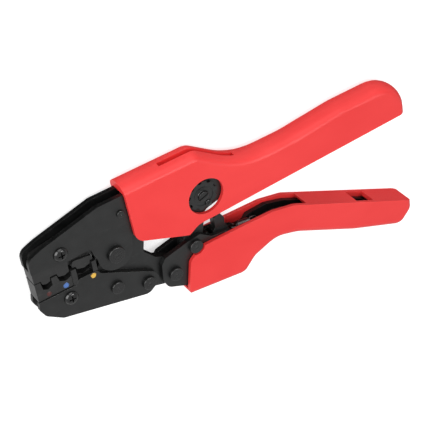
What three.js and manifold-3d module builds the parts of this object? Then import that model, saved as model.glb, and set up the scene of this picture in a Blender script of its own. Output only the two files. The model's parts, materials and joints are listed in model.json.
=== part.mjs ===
// Ratcheting hand crimper for insulated terminals, lying flat on the rear side of its grips.
// Millimetres. +X runs from the jaws to the handle ends, +Y towards the fixed upper grip, +Z up,
// which is square to the plates. The parts are drawn about the main pivot, at x = 0, y = 0, and the
// finished group is then moved so that the origin is under the middle of the tool.
import * as THREE from 'three';
import { mergeVertices } from 'three/addons/utils/BufferGeometryUtils.js';
import Module from 'manifold-3d';

const wasm = await Module();
wasm.setup();

// ---- driving dimensions ----
const GRIP_THICK = 15;        // a grip across its two faces, rear face at z = 0
const GRIP_WALL = 2.1;        // side wall of a grip
const PLATE = 2.5;            // one steel side plate
const CORE = 4.8;             // jaw plate and toggle link, between the side plates
const CORE_GAP = 0.2;         // running gap between the core and a side plate
const PLATE_GAP = 0.3;        // gap between a side plate and a grip wall
const HEAD_GAP = 0.15;        // gap under a pin's or screw's head
const PIN_GAP = 0.2;          // gap around a pin
const REAR_HEAD = 1.4;        // most that a pin's rear head stands off its plate
const DIE_RECESS = 0.6;       // how far the dies' faces lie below the plates' outer faces
const DIE_TONGUE = 4.4;       // the part of a die held between the plates
const ECCENTRIC = 0.4;        // throw of the adjusting pin
const LINK_PLAY = 0.85;       // play of the link on the adjusting pin, at the opened pivot
const ARC_STEPS = 5;          // facets in a rounded corner
const WIDE_ARC = 15;          // a corner with a larger radius than this has twice the facets
const ROUND_STEPS = 24;       // facets in a full circle
const COIL_STEPS = 8;         // facets in one turn of a spring

// ---- levels along z, worked out from the thicknesses ----
const REAR_Z = GRIP_WALL + PLATE_GAP;
const CORE_Z = REAR_Z + PLATE + CORE_GAP;
const FRONT_Z = CORE_Z + CORE + CORE_GAP;
const FACE_Z = FRONT_Z + PLATE;
const MID_Z = CORE_Z + CORE / 2;

// ---- pivots and fasteners in the plane of the plates ----
const MAIN_PIVOT = [0, 0];
const HANDLE_PIVOT = [29.7, -29.7];
const LINK_PIVOT = [43.5, -19];
const ADJUSTER = [52, 9.7];
const LOCK_SCREW = [54.2, 4.4];
const PAWL_PIVOT = [62.5, -22];
const UPPER_DIE_SCREW = [-27.7, 15];
const LOWER_DIE_SCREW = [-27.8, -12.8];
const HEAD_RIVET = [7, 21.5];
const TANG_RIVET = [68, 14];
const CHEEK_RIVETS = [[-3, -20], [14.3, -27]];
const SPRING_ANCHOR = [97, -30];
const PAWL_SPRING_POST = [82, -25.5];
const HANDLE_STAY = [60, -38];

// ---- materials ----
const steel = (color, roughness) => new THREE.MeshStandardMaterial({ color, roughness, metalness: 0.8 });
const plastic = (color) => new THREE.MeshStandardMaterial({ color, roughness: 0.35, metalness: 0 });
const blackSteel = () => steel(0x323434, 0.45);
const dieSteel = () => steel(0x3c3d3d, 0.5);
const pinSteel = () => steel(0x4a4b4b, 0.4);
const springSteel = () => steel(0x8c8f92, 0.35);
const redPlastic = () => plastic(0xd8302a);

// ---- helpers ----

// Turns a closed three.js geometry into a manifold solid.
function solid(geometry) {
  geometry.deleteAttribute('normal');
  geometry.deleteAttribute('uv');
  const merged = mergeVertices(geometry, 1e-5);
  return new wasm.Manifold(new wasm.Mesh({
    numProp: 3,
    vertProperties: new Float32Array(merged.attributes.position.array),
    triVerts: new Uint32Array(merged.index.array),
  }));
}

// Turns a manifold solid back into a three.js geometry.
function geometryOf(manifold) {
  const result = manifold.getMesh();
  const geometry = new THREE.BufferGeometry();
  geometry.setAttribute('position', new THREE.BufferAttribute(new Float32Array(result.vertProperties), 3));
  geometry.setIndex(new THREE.BufferAttribute(new Uint32Array(result.triVerts), 1));
  geometry.computeVertexNormals();
  return geometry;
}

// Closed outline through [x, y, corner radius] points, with each corner rounded by an arc. An arc may
// use up to half of each side at its corner, or the share given as a fourth number.
function outline(points) {
  const shape = new THREE.Shape();
  points.forEach(([x, y, radius = 0, share = 0.49], i) => {
    const corner = new THREE.Vector2(x, y);
    const before = new THREE.Vector2(...points[(i + points.length - 1) % points.length]).sub(corner);
    const after = new THREE.Vector2(...points[(i + 1) % points.length]).sub(corner);
    const half = Math.acos(before.clone().normalize().dot(after.clone().normalize())) / 2;
    const longest = share * Math.min(before.length(), after.length());
    const reach = Math.min(radius / Math.tan(half), longest);
    const start = corner.clone().add(before.setLength(reach || 1e-9));
    const end = corner.clone().add(after.setLength(reach || 1e-9));
    if (reach === 0) {
      shape[i ? 'lineTo' : 'moveTo'](x, y);
      return;
    }
    shape[i ? 'lineTo' : 'moveTo'](start.x, start.y);
    const round = reach * Math.tan(half);
    const towards = start.clone().add(end).multiplyScalar(0.5).sub(corner).normalize();
    const centre = corner.clone().add(towards.multiplyScalar(round / Math.sin(half)));
    const from = start.clone().sub(centre);
    const to = end.clone().sub(centre);
    const sweep = Math.atan2(from.cross(to), from.dot(to));
    const steps = round > WIDE_ARC ? 2 * ARC_STEPS : ARC_STEPS;
    for (let step = 1; step <= steps; step += 1) {
      const angle = from.angle() + sweep * step / steps;
      shape.lineTo(centre.x + round * Math.cos(angle), centre.y + round * Math.sin(angle));
    }
  });
  return shape;
}

// Flat plate of an outline between two levels.
function slab(shape, low, high) {
  const geometry = new THREE.ExtrudeGeometry(shape, { depth: high - low, bevelEnabled: false });
  return solid(geometry.translate(0, 0, low));
}

// Plate whose edges are rounded over on both faces, by one amount across and by another in depth.
function roundedSlab(shape, low, high, round, depth = round) {
  const geometry = new THREE.ExtrudeGeometry(shape, {
    depth: high - low - 2 * depth,
    bevelSize: round,
    bevelThickness: depth,
    bevelOffset: -round,
    bevelSegments: 5,
  });
  return solid(geometry.translate(0, 0, low + depth));
}

// Upright cylinder.
function disc([x, y], radius, low, high, steps = ROUND_STEPS) {
  const geometry = new THREE.CylinderGeometry(radius, radius, high - low, steps);
  geometry.rotateX(Math.PI / 2);
  return solid(geometry.translate(x, y, (low + high) / 2));
}

function block(x0, y0, z0, x1, y1, z1) {
  const geometry = new THREE.BoxGeometry(x1 - x0, y1 - y0, z1 - z0);
  return solid(geometry.translate((x0 + x1) / 2, (y0 + y1) / 2, (z0 + z1) / 2));
}

// Turned part: profile of [radius, z] points from axis to axis.
function turned([x, y], profile, steps = ROUND_STEPS) {
  const points = profile.map(([radius, z]) => new THREE.Vector2(radius, z));
  const geometry = new THREE.LatheGeometry(points, steps);
  geometry.rotateX(Math.PI / 2);
  return solid(geometry.translate(x, y, 0));
}

const holes = (body, centres, radius) => centres.reduce(
  (rest, centre) => rest.subtract(disc(centre, radius, -1, GRIP_THICK + 5)),
  body,
);

// Riveted pin: round heads with upright rims on both outer faces of the side plates.
function rivet(centre, shank, head, rise) {
  const top = FACE_Z + HEAD_GAP;
  const bottom = REAR_Z - HEAD_GAP;
  const rear = Math.min(rise, REAR_HEAD);
  return turned(centre, [
    [0, bottom - rear],
    [head * 0.8, bottom - rear],
    [head, bottom - rear * 0.7],
    [head, bottom],
    [shank, bottom],
    [shank, top],
    [head, top],
    [head, top + rise * 0.72],
    [head * 0.8, top + rise * 0.96],
    [0, top + rise],
  ]);
}

// Cross-recess screw whose domed head stands on the front plate and whose shank ends in the rear one.
function crossScrew(centre, shank, head) {
  const top = FACE_Z + HEAD_GAP;
  const rise = 1.7;
  const body = turned(centre, [
    [0, REAR_Z + 0.3],
    [shank, REAR_Z + 0.3],
    [shank, top],
    [head, top],
    [head * 0.96, top + rise * 0.45],
    [head * 0.72, top + rise * 0.85],
    [head * 0.4, top + rise],
    [0, top + rise],
  ]);
  const [x, y] = centre;
  const reach = head * 0.56;
  const half = head * 0.13;
  const floor = top + 0.5;
  const ceiling = top + rise + 1;
  return body
    .subtract(block(x - reach, y - half, floor, x + reach, y + half, ceiling))
    .subtract(block(x - half, y - reach, floor, x + half, y + reach, ceiling));
}

const group = new THREE.Group();

function add(name, body, material) {
  const geometry = body.isBufferGeometry ? body : geometryOf(body);
  const mesh = new THREE.Mesh(geometry, material);
  mesh.name = name;
  group.add(mesh);
}

// A pair of side plates, front and rear, from one outline.
function sidePlates(frontName, rearName, shape, drill) {
  add(frontName, drill(slab(shape, FRONT_Z, FACE_Z)), blackSteel());
  add(rearName, drill(slab(shape, REAR_Z, REAR_Z + PLATE)), blackSteel());
}

// ---- fixed frame: two side plates that are the upper jaw and the upper handle's tang ----
const MAIN_PIN = 3.4;
const BOSS = 9.6;             // round boss of a frame plate about the main pivot
const DIE_SCREW_SHANK = 2;
const SMALL_RIVET = 1.4;
const ADJUST_PIN = 3;

function framePlates() {
  const shape = outline([
    [-44.6, 10.8, 0.6], [-24.8, 9, 0.6], [-12.2, 9.6, 2], [-9.4, 0], [9.4, 0], [10.6, 7, 3],
    [20, 4.6, 3], [40, -1.5, 6], [50.5, -2.6, 1], [53.5, -0.2, 1], [66, 3, 4], [76, 7, 4],
    [76, 15, 4], [64, 20.5, 6], [46, 31, 6], [-4, 31, 4], [-36, 22.8, 4], [-44.6, 19.5, 5],
  ]);
  const drill = (plate) => {
    const { min, max } = plate.boundingBox();
    const joined = plate.add(disc(MAIN_PIVOT, BOSS, min[2], max[2], 40));
    const pinned = holes(joined, [MAIN_PIVOT], MAIN_PIN + PIN_GAP);
    const screwed = holes(pinned, [UPPER_DIE_SCREW], DIE_SCREW_SHANK + PIN_GAP);
    const riveted = holes(screwed, [HEAD_RIVET, TANG_RIVET], SMALL_RIVET + PIN_GAP);
    return holes(riveted, [ADJUSTER], ADJUST_PIN + PIN_GAP);
  };
  sidePlates('frame_plate_front', 'frame_plate_rear', shape, drill);
}

// Sleeve that keeps the two side plates apart around a rivet.
function sleeve(name, centre, bore, wall) {
  const tube = disc(centre, bore + PIN_GAP + wall, CORE_Z, CORE_Z + CORE)
    .subtract(disc(centre, bore + PIN_GAP, CORE_Z - 1, CORE_Z + CORE + 1));
  add(name, tube, pinSteel());
}

// ---- dies ----
const DIE_LOW = REAR_Z + DIE_RECESS;
const DIE_HIGH = FACE_Z - DIE_RECESS;
const TONGUE_LOW = MID_Z - DIE_TONGUE / 2;
const TONGUE_HIGH = MID_Z + DIE_TONGUE / 2;
const NEST_WALLS = [            // the lower die's walls between nests
  { left: -35.3, right: -32.3, low: -0.8, high: 4.1 },
  { left: -24.6, right: -22.1, low: -6.7, high: 2.6 },
  { left: -13.3, right: -11, low: -4.1, high: 2.1 },
];

// Two nests side by side, then a block of its own for the largest nest, joined by the tongue.
function upperDie() {
  const pair = outline([
    [-44.2, 4.7, 0.3], [-40.6, 4.6, 0.3], [-40.1, 2.4, 0.4], [-37.9, 1.7, 1], [-35.7, 2.4, 0.4],
    [-35.6, 4.6, 0.3], [-31.9, 4.6, 0.3], [-31.2, 2.4, 0.4], [-28, 1.6, 1], [-25.4, 2.6, 0.4],
    [-25.2, 8.7], [-44.2, 10.5],
  ]);
  const large = outline([
    [-23.4, 3.2, 0.5], [-21.6, 3.1, 0.4], [-20.9, 1.2, 0.4], [-17.2, 0.1, 2], [-13.8, 1.2, 0.4],
    [-13.6, 2.7, 0.4], [-11.9, 2.7, 0.4], [-12.2, 5.3, 1], [-22.5, 6.8, 1.4],
  ]);
  const tongue = outline([
    [-42, 6], [-25.4, 6], [-24.6, 4.2], [-10.9, 4.2], [-11.8, 12], [-13.4, 19.5, 3], [-20, 22.2, 3],
    [-42, 18.5, 3],
  ]);
  const body = slab(pair, DIE_LOW, DIE_HIGH)
    .add(slab(large, DIE_LOW + 0.4, DIE_HIGH - 0.4))
    .add(slab(tongue, TONGUE_LOW, TONGUE_HIGH));
  add('upper_die', holes(body, [UPPER_DIE_SCREW], DIE_SCREW_SHANK + PIN_GAP), dieSteel());
}

function lowerDie() {
  const pair = outline([
    [-44.2, -6.7], [-44.2, 4.2, 0.4], [-41, 4.1, 0.3], [-40.5, -0.6, 0.4], [-37.8, -2, 1],
    [-35.3, -0.6, 0.3], [-35.3, 4.1, 0.3], [-32.3, 4.1, 0.3], [-31.2, -0.6, 0.4], [-28, -2, 1],
    [-24.9, -0.6, 0.3], [-24.6, 2.6, 0.3], [-22.1, 2.6, 0.3], [-21.8, -4.1], [-23.6, -6.7],
  ]);
  const core = outline([
    [-42, -6.4], [-42, -15, 2], [-33, -20.5, 3], [-14, -24, 2], [-13.6, -7.4], [-11.2, -4.8],
    [-11.2, -3, 0.3], [-13.3, -2.8, 0.5], [-17.3, -4.4, 2], [-21.4, -2.8, 0.5], [-23, -2.8],
    [-23, -6.4],
  ]);
  const [first, second, last] = NEST_WALLS.map(({ left, right, low, high }) => slab(outline([
    [left, low], [right, low], [right, high, 0.3], [left, high, 0.3],
  ]), REAR_Z, FACE_Z));
  const chamfer = slab(outline([[-23.9, -7.4], [-20, -7.4], [-20, -2.4]]), REAR_Z - 1, FACE_Z + 1);
  const foot = block(-13.3, -4.1, TONGUE_LOW, -11, -2, TONGUE_HIGH);
  const body = slab(pair, DIE_LOW, DIE_HIGH)
    .add(first)
    .add(second.subtract(chamfer))
    .add(last)
    .add(foot)
    .add(slab(core, TONGUE_LOW, TONGUE_HIGH));
  add('lower_die', holes(body, [LOWER_DIE_SCREW], DIE_SCREW_SHANK + PIN_GAP), dieSteel());
}

// Thin paint marks, one under each nest: two on the lower die's face and one on the cheek's.
function nestMarks() {
  const marks = [
    ['nest_mark_small', [-38, -4.7], 1.5, DIE_HIGH, 0xb5322c],
    ['nest_mark_medium', [-28.5, -4.7], 1.7, DIE_HIGH, 0x4f83d6],
    ['nest_mark_large', [-13.8, -6.4], 1.6, FACE_Z, 0xf2c23c],
  ];
  marks.forEach(([name, centre, radius, level, color]) => {
    add(name, disc(centre, radius, level + 0.02, level + 0.2, 20), plastic(color));
  });
}

// ---- lower jaw: a core plate between two cheeks ----
const CHEEK_PIN = 2.4;
const HANDLE_PIN = 2.8;

function jawPlate() {
  const shape = outline([
    [-13, -8.4, 1], [-13, -25.9, 1], [14, -32.4, 4], [29, -36.8, 5], [37, -33, 6], [36, -22.5, 6],
    [22, -16.5, 2], [16, -9.6, 1.5], [18, 0, 3], [16, 6.5, 4], [7.5, 8, 4], [-8, 4.5, 6], [-8.5, -4, 4],
  ]);
  const core = slab(shape, CORE_Z, CORE_Z + CORE).add(disc(MAIN_PIVOT, 8.4, CORE_Z, CORE_Z + CORE));
  const pinned = holes(core, [MAIN_PIVOT], MAIN_PIN + PIN_GAP);
  const riveted = holes(pinned, CHEEK_RIVETS, CHEEK_PIN + PIN_GAP);
  add('jaw_plate', holes(riveted, [HANDLE_PIVOT], HANDLE_PIN + PIN_GAP), blackSteel());
}

function jawCheeks() {
  const shape = outline([
    [-44.2, -7, 0.8], [-45, -11.5, 3], [-42.5, -16.5, 4], [-34, -22.6, 4], [13.5, -34.2, 5],
    [21.6, -28.5, 6], [18.6, -22.3, 2], [13, -19, 3], [-9.8, -7.2, 1.5], [-11.4, -4.5, 1],
    [-21.4, -4.5, 0.5], [-23.4, -7],
  ]);
  const drill = (plate) => holes(
    holes(plate, [LOWER_DIE_SCREW], DIE_SCREW_SHANK + PIN_GAP),
    CHEEK_RIVETS,
    CHEEK_PIN + PIN_GAP,
  );
  sidePlates('jaw_cheek_front', 'jaw_cheek_rear', shape, drill);
}

// ---- lower handle: two side plates that reach into the moving grip ----
const LINK_PIN = 2.8;
const PAWL_PIN = 1.8;
const STAY_PIN = 1.6;

function handlePlates() {
  const shape = outline([
    [22.4, -30.5, 3], [23.2, -21.5, 2], [25.5, -18, 2], [40, -14.6, 4], [47.3, -13.6, 2],
    [54, -18.6, 3], [65.2, -19.8, 3], [67.8, -25.4, 3], [77, -26, 3], [80, -22.9, 2], [92, -22.4, 6],
    [103, -25.6, 12], [112, -30, 6], [159, -54, 3],
    [156, -62.6, 3], [104, -37.6, 20], [93, -32.4, 10], [80, -36, 6], [68, -44, 4], [36, -41.6, 4],
    [24.5, -36.5, 5],
  ]);
  const drill = (plate) => {
    const pivoted = holes(plate, [HANDLE_PIVOT, LINK_PIVOT], HANDLE_PIN + PIN_GAP);
    const pawled = holes(pivoted, [PAWL_PIVOT], PAWL_PIN + PIN_GAP);
    return holes(pawled, [HANDLE_STAY, SPRING_ANCHOR, PAWL_SPRING_POST], STAY_PIN + PIN_GAP);
  };
  sidePlates('handle_plate_front', 'handle_plate_rear', shape, drill);
}

// Plain pin with no heads, from the rear plate's outer face to the front one's.
function dowel(name, centre, radius) {
  add(name, disc(centre, radius, REAR_Z + 0.1, FACE_Z - 0.1, 24), pinSteel());
}

// ---- toggle link with the ratchet teeth about its lower pivot ----
const RATCHET_RADIUS = 12;
const TOOTH_PITCH = 5.2;      // degrees
const TOOTH_COUNT = 10;
const TOOTH_DEPTH = 1;
const FIRST_TOOTH = -6;       // degrees from +X about the link pivot, just past the pawl's nose
const SPRING_EAR = [42.6, -32];
const EYE_LOW = MID_Z - 1.2;    // the link and the pawl are thinner where a spring hooks on
const EYE_HIGH = MID_Z + 1.2;

function toggleLink() {
  const low = CORE_Z;
  const high = CORE_Z + CORE;
  const [px, py] = LINK_PIVOT;
  const [ax, ay] = ADJUSTER;
  const arm = outline([
    [px - 5.2, py + 1.5], [px + 5.6, py - 1.8], [ax + 4.6, ay - 2], [ax - 4.8, ay + 1.4],
  ]);
  const sector = new THREE.Shape();
  sector.moveTo(px, py);
  const polar = (degrees, radius) => [
    px + radius * Math.cos(THREE.MathUtils.degToRad(degrees)),
    py + radius * Math.sin(THREE.MathUtils.degToRad(degrees)),
  ];
  for (let tooth = TOOTH_COUNT; tooth > 0; tooth -= 1) {
    const start = FIRST_TOOTH - tooth * TOOTH_PITCH;
    sector.lineTo(...polar(start, RATCHET_RADIUS - TOOTH_DEPTH));
    sector.lineTo(...polar(start + 0.8, RATCHET_RADIUS));
  }
  sector.lineTo(...polar(FIRST_TOOTH, RATCHET_RADIUS - TOOTH_DEPTH));
  sector.lineTo(...polar(12, RATCHET_RADIUS - 2.2));
  const ear = disc(SPRING_EAR, 2.4, EYE_LOW, EYE_HIGH).add(
    block(px - 2.9, SPRING_EAR[1], EYE_LOW, px + 1.4, py, EYE_HIGH),
  );
  const body = slab(arm, low, high)
    .add(disc(LINK_PIVOT, 6.4, low, high))
    .add(disc(ADJUSTER, 7, low, high))
    .add(slab(sector, low, high))
    .add(ear);
  const pivoted = holes(body, [LINK_PIVOT], LINK_PIN + PIN_GAP);
  const eyed = holes(pivoted, [SPRING_EAR], 1.2);
  add('toggle_link', holes(eyed, [ADJUSTER], ADJUST_PIN + ECCENTRIC + LINK_PLAY), blackSteel());
}

// ---- pawl: its nose rides on the teeth and its tab stands out between the grips ----
function pawl() {
  const [x, y] = PAWL_PIVOT;
  const arm = outline([
    [x - 6.2, y + 3.6], [x - 6.3, y + 2.2], [x - 2.4, y - 2.9, 1.5], [x + 2, y - 3, 2], [x + 3, y - 2.8],
    [x + 3, y + 1.6], [x + 1.2, y + 6, 1], [x + 1.4, y + 9, 1.5], [x - 0.4, y + 12.2, 1.2],
    [x - 2.3, y + 12.9, 1.5], [x - 4.5, y + 11.4, 2.2], [x - 4.6, y + 5, 1.5],
  ]);
  const eye = outline([
    [x + 1, y - 2.9], [x + 6.6, y - 2.4, 1.5], [x + 6.6, y + 1, 1.5], [x + 1, y + 2.2],
  ]);
  const body = slab(arm, CORE_Z, CORE_Z + CORE).add(slab(eye, EYE_LOW, EYE_HIGH));
  const pivoted = holes(body, [PAWL_PIVOT], PAWL_PIN + PIN_GAP);
  add('ratchet_pawl', holes(pivoted, [[x + 4.6, y - 0.7]], 0.7), blackSteel());
}

// Extension spring: one closed helix along X with its ends turned in to the hooks' places.
class HelixCurve extends THREE.Curve {
  constructor(start, end, radius, turns) {
    super();
    Object.assign(this, { start, end, radius, turns });
  }

  getPoint(t, target = new THREE.Vector3()) {
    const angle = t * this.turns * 2 * Math.PI;
    const direction = this.end.clone().sub(this.start);
    const across = new THREE.Vector3(-direction.y, direction.x, 0).normalize();
    return target.copy(this.start)
      .addScaledVector(direction, t)
      .addScaledVector(across, this.radius * Math.cos(angle))
      .add(new THREE.Vector3(0, 0, this.radius * Math.sin(angle)));
  }
}

function spring(name, [x0, y0], [x1, y1], radius, wire, turns) {
  const section = new THREE.Shape().absarc(0, 0, wire, 0, 2 * Math.PI);
  const path = new HelixCurve(
    new THREE.Vector3(x0, y0, MID_Z),
    new THREE.Vector3(x1, y1, MID_Z),
    radius,
    turns,
  );
  const geometry = new THREE.ExtrudeGeometry(section, {
    steps: turns * COIL_STEPS,
    curveSegments: 5,
    extrudePath: path,
  });
  add(name, solid(geometry), springSteel());
}

// ---- adjuster: toothed wheel on an eccentric pin, seen through the grip's window ----
const WHEEL_RADIUS = 8.3;
const WHEEL_TEETH = 10;
const WHEEL_LOW = FACE_Z + HEAD_GAP;
const WHEEL_HIGH = WHEEL_LOW + 1.4;

function adjuster() {
  let wheel = disc(ADJUSTER, WHEEL_RADIUS, WHEEL_LOW, WHEEL_HIGH, 48);
  for (let tooth = 0; tooth < WHEEL_TEETH; tooth += 1) {
    const angle = 2 * Math.PI * (tooth + 0.62) / WHEEL_TEETH;
    const notch = [
      ADJUSTER[0] + (WHEEL_RADIUS + 0.3) * Math.cos(angle),
      ADJUSTER[1] + (WHEEL_RADIUS + 0.3) * Math.sin(angle),
    ];
    wheel = wheel.subtract(disc(notch, 1.35, WHEEL_LOW - 1, WHEEL_HIGH + 1, 16));
  }
  const drilled = holes(holes(wheel, [ADJUSTER], ADJUST_PIN + PIN_GAP), [LOCK_SCREW], 1.2);
  add('adjusting_wheel', drilled, blackSteel());

  const [x, y] = ADJUSTER;
  const top = WHEEL_HIGH + HEAD_GAP;
  const bottom = REAR_Z - HEAD_GAP;
  const ends = turned(ADJUSTER, [
    [0, bottom - 1], [3.8, bottom - 1], [4, bottom - 0.6], [4, bottom],
    [ADJUST_PIN, bottom], [ADJUST_PIN, top - 0.2], [2.8, top], [2.7, top + 1], [0, top + 1.1],
  ]);
  const throwPart = disc([x - ECCENTRIC, y], ADJUST_PIN, CORE_Z, CORE_Z + CORE);
  const slot = block(x - 3, y - 0.45, top + 0.4, x + 3, y + 0.45, top + 2);
  const turnedPin = ends.subtract(block(x - 5, y - 5, CORE_Z, x + 5, y + 5, CORE_Z + CORE));
  add('eccentric_pin', turnedPin.add(throwPart).subtract(slot), pinSteel());

  const [sx, sy] = LOCK_SCREW;
  const head = WHEEL_HIGH + HEAD_GAP;
  const screw = turned(LOCK_SCREW, [
    [0, WHEEL_LOW + 0.1], [1, WHEEL_LOW + 0.1], [1, head], [1.7, head], [1.6, head + 0.5], [0, head + 0.7],
  ], 20);
  const recess = block(sx - 1.1, sy - 0.2, head + 0.25, sx + 1.1, sy + 0.2, head + 2);
  add('wheel_lock_screw', screw.subtract(recess), pinSteel());
}


// ---- grips: channels whose spines are rounded and whose open sides face each other ----
const UPPER_ROUND = 4.7;        // the upper grip's spine is a flat crown, rounded less across
const UPPER_CROWN = 7.3;        // than in depth
const LOWER_ROUND = 3.6;
const BIG = 60;
const WINDOW = [53.3, 9.05];
const WINDOW_RADIUS = 10.2;
const LINK_RECESS = 4.6;        // room for the link pin's heads in the lower grip's walls

// Keeps what lies inside an outline. A grip is bevelled all round a body that runs past its open
// side, and trimming that leaves the spine rounded and the rims square.
function trimmedTo(body, shape) {
  return body.intersect(slab(shape, -1, GRIP_THICK + 1));
}

function upperGrip() {
  const spine = [
    [180.4, 22, 18.5, 0.82], [139, 21.6, 60], [107, 18.2, 60], [77.5, 18.2, 48], [52.5, 36, 8], [10.2, 36],
  ];
  const mouth = [
    [11.6, 2.6, 7], [40.6, -9.2, 2], [46.5, -5.5, 8], [180.4, -0.3, 2.5, 0.12],
  ];
  const left = 10.2 - 3 * UPPER_ROUND;
  const spineShape = outline([...spine.slice(0, -1), [left, 36], [left, -BIG], [180.4, -BIG]]);
  const rounded = roundedSlab(spineShape, 0, GRIP_THICK, UPPER_ROUND, UPPER_CROWN);
  const body = trimmedTo(rounded, outline([...spine, ...mouth]));
  const channel = outline([
    [-5, 31.4], [-5, -BIG], [160, -BIG], [170, -3], [170, 6, 6], [160, 16.5, 6], [112, 14, 60],
    [86, 13.5, 20], [64, 21.5, 30], [48.5, 31.4, 4],
  ]);
  const groove = outline([
    [33, 40], [33, 32.9], [50, 32.9, 4], [65, 23.4, 20], [75, 19.4], [75, 40],
  ]);
  const hollow = body
    .subtract(slab(channel, GRIP_WALL, GRIP_THICK - GRIP_WALL))
    .subtract(slab(groove, MID_Z - 0.1, MID_Z + 2.8))
    .subtract(disc(WINDOW, WINDOW_RADIUS, GRIP_THICK - GRIP_WALL - 1, GRIP_THICK + 1, 48));
  const pinned = hollow.subtract(disc(ADJUSTER, 6, -1, GRIP_WALL + 1));
  add('upper_grip', pinned, redPlastic());
}

function lowerGrip() {
  const spine = [
    [35, -46.8, 3], [69.5, -51.4, 6], [77, -44.2, 6], [91, -39.2, 16], [104, -43, 30],
    [140, -61, 60], [172, -74.2, 6], [180, -66.4, 5],
  ];
  const mouth = [
    [179.4, -60.2, 1], [104, -23.7, 12], [90, -20.7, 10], [66, -20.1, 20], [45.5, -20, 5],
    [38.4, -26, 5], [35.2, -41.5, 1],
  ];
  const left = 35 - 3 * LOWER_ROUND;
  const spineShape = outline([[left, -45.8], ...spine.slice(1), [180, BIG], [left, BIG]]);
  const rounded = roundedSlab(spineShape, 0, GRIP_THICK, LOWER_ROUND);
  const body = trimmedTo(rounded, outline([...spine, ...mouth]));
  const channel = outline([
    [20, BIG], [20, -42.6], [36, -43.4], [69, -46.6, 3], [80, -37.6, 6], [93, -33.6, 10],
    [104, -38.4, 20], [140, -56.4, 40], [165, -67.2, 2], [169, -57.8, 2], [112, -29.4], [112, BIG],
  ]);
  const hollow = body
    .subtract(slab(channel, GRIP_WALL, GRIP_THICK - GRIP_WALL))
    .subtract(disc(LINK_PIVOT, LINK_RECESS, GRIP_THICK - GRIP_WALL - 1, GRIP_THICK + 1))
    .subtract(disc(LINK_PIVOT, LINK_RECESS, -1, GRIP_WALL + 1));
  const tailHole = outline([[144.8, -41.8], [142.5, -46.2], [153.5, -52], [155.8, -47.6]]);
  const opened = hollow.subtract(slab(tailHole, GRIP_WALL, GRIP_THICK - GRIP_WALL));
  add('lower_grip', opened, redPlastic());
}

// ---- assembly ----
framePlates();
upperDie();
add('upper_die_screw', crossScrew(UPPER_DIE_SCREW, DIE_SCREW_SHANK, 3.8), blackSteel());
add('main_pivot_pin', rivet(MAIN_PIVOT, MAIN_PIN, 4.6, 2), pinSteel());
add('head_rivet', rivet(HEAD_RIVET, SMALL_RIVET, 2.1, 0.9), pinSteel());
sleeve('head_spacer', HEAD_RIVET, SMALL_RIVET, 2);
dowel('tang_pin', TANG_RIVET, SMALL_RIVET);
sleeve('tang_spacer', TANG_RIVET, SMALL_RIVET, 2);
upperGrip();
adjuster();

jawPlate();
jawCheeks();
lowerDie();
nestMarks();
add('lower_die_screw', crossScrew(LOWER_DIE_SCREW, DIE_SCREW_SHANK, 3.8), blackSteel());
CHEEK_RIVETS.forEach((centre, i) => {
  add(`cheek_rivet_${i + 1}`, rivet(centre, CHEEK_PIN, 3.5 + 0.2 * i, 1.6), pinSteel());
});

handlePlates();
add('handle_pivot_pin', rivet(HANDLE_PIVOT, HANDLE_PIN, 3.8, 1.9), pinSteel());
add('link_pin', rivet(LINK_PIVOT, LINK_PIN, 3.8, 1.9), pinSteel());
dowel('pawl_pin', PAWL_PIVOT, PAWL_PIN);
dowel('handle_stay_pin', HANDLE_STAY, STAY_PIN);
sleeve('handle_stay_sleeve', HANDLE_STAY, STAY_PIN, 1.6);
dowel('return_spring_pin', SPRING_ANCHOR, STAY_PIN);
dowel('pawl_spring_pin', PAWL_SPRING_POST, STAY_PIN);
lowerGrip();

toggleLink();
pawl();
spring('return_spring', [45.9, -32], [94.4, -30.1], 1.9, 0.45, 14);
spring('pawl_spring', [70.2, -23.6], [79.4, -25.2], 1.4, 0.35, 7);

// The origin is under the middle of the whole tool, at the level of its rear face.
const bounds = new THREE.Box3().setFromObject(group);
const centre = bounds.getCenter(new THREE.Vector3());
group.position.set(-centre.x, -centre.y, -bounds.min.z);

export default group;
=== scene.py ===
"""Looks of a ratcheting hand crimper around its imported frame. Metres, on the frame's own axes.

+X runs from the jaws to the handle ends, +Y towards the fixed grip, +Z up, square to the plates.
"""

import json
import math

import bmesh
import bpy
from mathutils import Matrix, Vector


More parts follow.
